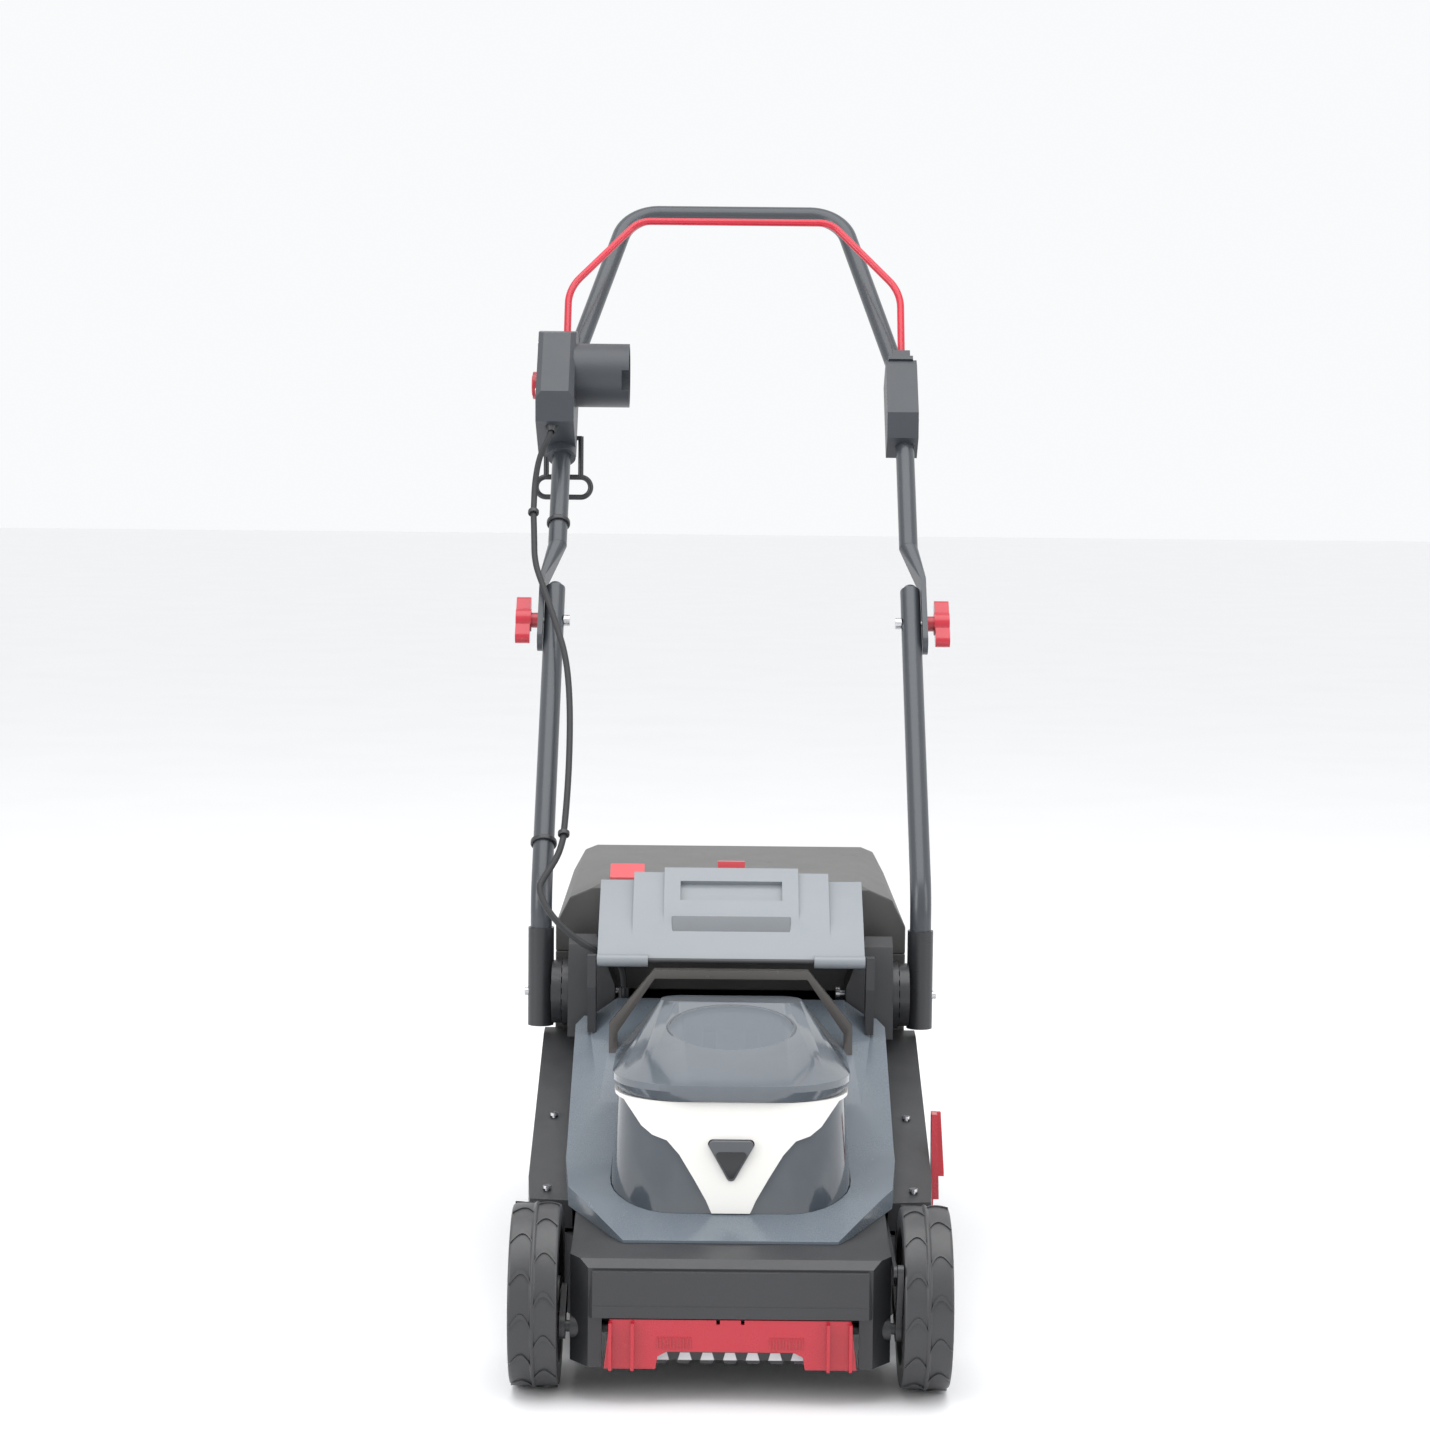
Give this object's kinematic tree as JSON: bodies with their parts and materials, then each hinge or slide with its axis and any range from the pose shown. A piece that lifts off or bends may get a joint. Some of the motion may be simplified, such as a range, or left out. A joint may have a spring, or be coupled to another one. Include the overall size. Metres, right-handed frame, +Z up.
{
  "type": "push lawn mower",
  "caption": "Compact cordless rotary push mower with a folding tube handle, bail bar, switch box, motor dome, rear flap and hard grass box.",
  "frame": {"origin": "centre of the machine's footprint at ground level, under its bounding box", "axes": "+X to the side with the height lever, +Y to the rear where the user walks, +Z up"},
  "size_m": [0.4532, 1.064, 1.0978],
  "materials": {
    "deck_black": "matt moulded plastic with a fine grain",
    "red": "semi-gloss red plastic",
    "red_paint": "gloss red powder coat",
    "pale_grey": "satin pale grey",
    "shroud_grey": "satin blue-grey",
    "smoke": "gloss smoked grey",
    "white": "gloss white",
    "brass": "plain",
    "board": "circuit board",
    "steel": "zinc plated",
    "alloy": "cast",
    "blade_steel": "black coated steel",
    "satin_black": "satin black",
    "rubber_black": "cable sheath",
    "button_grey": "dark grey",
    "flap_grey": "mid grey",
    "wheel_black": "moulded tread",
    "tube_slate": "satin slate powder coat",
    "box_slate": "slate grey plastic"
  },
  "bodies": {
    "deck": {"deck": "deck_black", "blade_ring": "deck_black", "bumper": "deck_black", "front_grip": "red", "comb_strip": "pale_grey", "top_shroud": "shroud_grey", "motor_housing": "smoke", "trim_frame": "white", "battery_tray": "deck_black", "battery_contacts": "brass", "controller_board": "board", "motor_stator": "steel", "carry_handle": "deck_black", "pivot_humps": "deck_black", "pivot_discs": "satin_black", "deck_fasteners": "steel", "cable_gland": "rubber_black", "lid_hinge_pin": "deck_black", "latch_spring": "steel", "flap_hinge_pin": "deck_black", "deck_cable": "rubber_black"},
    "rotor": {"rotor": "steel", "fan": "deck_black", "blade_hub": "alloy", "blade": "blade_steel", "blade_bolt": "steel"},
    "battery_lid": {"battery_lid": "smoke"},
    "battery": {"battery": "satin_black"},
    "latch_button": {"latch_button": "button_grey"},
    "rear_flap": {"rear_flap": "flap_grey"},
    "grass_box": {"grass_box": "deck_black", "grass_box_lid": "deck_black", "grass_box_handle": "deck_black"},
    "fill_indicator": {"fill_indicator": "red"},
    "front_axle": {"front_axle": "steel", "hub_caps_front": "button_grey"},
    "rear_axle": {"rear_axle": "steel", "hub_caps_rear": "button_grey"},
    "tie_rod": {"tie_rod": "satin_black"},
    "height_lever": {"height_lever": "red"},
    "wheel_front_left": {"wheel_front_left": "wheel_black"},
    "wheel_front_right": {"wheel_front_right": "wheel_black"},
    "wheel_rear_left": {"wheel_rear_left": "wheel_black"},
    "wheel_rear_right": {"wheel_rear_right": "wheel_black"},
    "lower_handle": {"lower_handle": "tube_slate", "pivot_sleeves": "deck_black", "clamp_bolts": "steel", "cable_clip_lower": "satin_black", "lower_cable": "rubber_black"},
    "upper_handle": {"upper_handle": "tube_slate", "switch_box": "box_slate", "switch_unit": "satin_black", "bail_holder": "box_slate", "cable_clip_upper": "satin_black", "upper_cable": "rubber_black"},
    "knob_left": {"knob_left": "red"},
    "knob_right": {"knob_right": "red"},
    "bail": {"bail_rod": "red_paint"},
    "lock_button": {"lock_button": "red"},
    "cord_hook": {"cord_hook": "satin_black"}
  },
  "joints": [
    {"name": "blade_spin", "type": "hinge", "parent": "deck", "child": "rotor", "pos_m": [0, -0.28697, 0.06], "axis": [0, 0, 1], "continuous": true},
    {"name": "lid_hinge", "type": "hinge", "parent": "deck", "child": "battery_lid", "pos_m": [0, -0.18997, 0.268], "axis": [-1, 0, 0], "range_deg": [0, 60]},
    {"name": "battery_lift", "type": "slide", "parent": "deck", "child": "battery", "axis": [0, 0, 1], "range_m": [0, 0.05]},
    {"name": "latch_press", "type": "slide", "parent": "deck", "child": "latch_button", "axis": [0, 1, 0], "range_m": [0, 0.004], "stiffness_N_per_m": 600, "springref_m": -0.002},
    {"name": "flap_hinge", "type": "hinge", "parent": "deck", "child": "rear_flap", "pos_m": [0, -0.14997, 0.326], "axis": [1, 0, 0], "range_deg": [0, 65], "stiffness_Nm_per_rad": 0.6, "springref_deg": -22.92},
    {"name": "grass_box_slide", "type": "slide", "parent": "deck", "child": "grass_box", "axis": [0, 1, 0], "range_m": [0, 0.45]},
    {"name": "indicator_hinge", "type": "hinge", "parent": "grass_box", "child": "fill_indicator", "pos_m": [0, -0.03197, 0.376], "axis": [-1, 0, 0], "range_deg": [0, 45]},
    {"name": "height_adjust", "type": "hinge", "parent": "deck", "child": "front_axle", "pos_m": [0, -0.49015, 0.0625], "axis": [-1, 0, 0], "range_deg": [0, 49.25]},
    {"name": "rear_crank", "type": "hinge", "parent": "deck", "child": "rear_axle", "pos_m": [0, -0.06015, 0.0775], "axis": [-1, 0, 0], "range_deg": [0, 49.25]},
    {"name": "tie_rod_pivot", "type": "hinge", "parent": "front_axle", "child": "tie_rod", "pos_m": [0.14, -0.51598, 0.11886], "axis": [-1, 0, 0], "range_deg": [-49.25, 0]},
    {"name": "lever_pivot", "type": "hinge", "parent": "deck", "child": "height_lever", "pos_m": [0.19, -0.27997, 0.128], "axis": [1, 0, 0], "range_deg": [0, 30]},
    {"name": "wheel_front_left_spin", "type": "hinge", "parent": "front_axle", "child": "wheel_front_left", "pos_m": [-0.169, -0.45197, 0.08], "axis": [1, 0, 0], "continuous": true},
    {"name": "wheel_front_right_spin", "type": "hinge", "parent": "front_axle", "child": "wheel_front_right", "pos_m": [0.169, -0.45197, 0.08], "axis": [1, 0, 0], "continuous": true},
    {"name": "wheel_rear_left_spin", "type": "hinge", "parent": "rear_axle", "child": "wheel_rear_left", "pos_m": [-0.169, -0.02197, 0.095], "axis": [1, 0, 0], "continuous": true},
    {"name": "wheel_rear_right_spin", "type": "hinge", "parent": "rear_axle", "child": "wheel_rear_right", "pos_m": [0.169, -0.02197, 0.095], "axis": [1, 0, 0], "continuous": true},
    {"name": "handle_fold", "type": "hinge", "parent": "deck", "child": "lower_handle", "pos_m": [0, -0.07197, 0.282], "axis": [1, 0, 0], "range_deg": [0, 100], "deforming": ["deck_cable", "lower_cable"]},
    {"name": "upper_fold", "type": "hinge", "parent": "lower_handle", "child": "upper_handle", "pos_m": [0, 0.14401, 0.63739], "axis": [1, 0, 0], "range_deg": [-140, 0], "deforming": ["upper_cable"]},
    {"name": "knob_left_turn", "type": "hinge", "parent": "lower_handle", "child": "knob_left", "pos_m": [-0.21, 0.14401, 0.63739], "axis": [1, 0, 0], "continuous": true},
    {"name": "knob_right_turn", "type": "hinge", "parent": "lower_handle", "child": "knob_right", "pos_m": [0.21, 0.14401, 0.63739], "axis": [1, 0, 0], "continuous": true},
    {"name": "bail_squeeze", "type": "hinge", "parent": "upper_handle", "child": "bail", "pos_m": [0, 0.34387, 0.90047], "axis": [-1, 0, 0], "range_deg": [0, 14], "stiffness_Nm_per_rad": 3, "springref_deg": -8.59},
    {"name": "lock_press", "type": "slide", "parent": "upper_handle", "child": "lock_button", "axis": [1, 0, 0], "range_m": [0, 0.004], "stiffness_N_per_m": 500, "springref_m": -0.002},
    {"name": "cord_hook_swing", "type": "hinge", "parent": "upper_handle", "child": "cord_hook", "pos_m": [-0.187, 0.33595, 0.8288], "axis": [1, 0, 0], "range_deg": [-35, 35]}
  ],
  "couplings": [
    {"joint": "battery_lift", "follows": "lid_hinge", "m_per_rad": 0.047651},
    {"joint": "rear_crank", "follows": "height_adjust", "ratio": 1},
    {"joint": "tie_rod_pivot", "follows": "height_adjust", "ratio": -1},
    {"joint": "lever_pivot", "follows": "height_adjust", "ratio": 0.60895},
    {"joint": "upper_fold", "follows": "handle_fold", "ratio": -1.4}
  ]
}
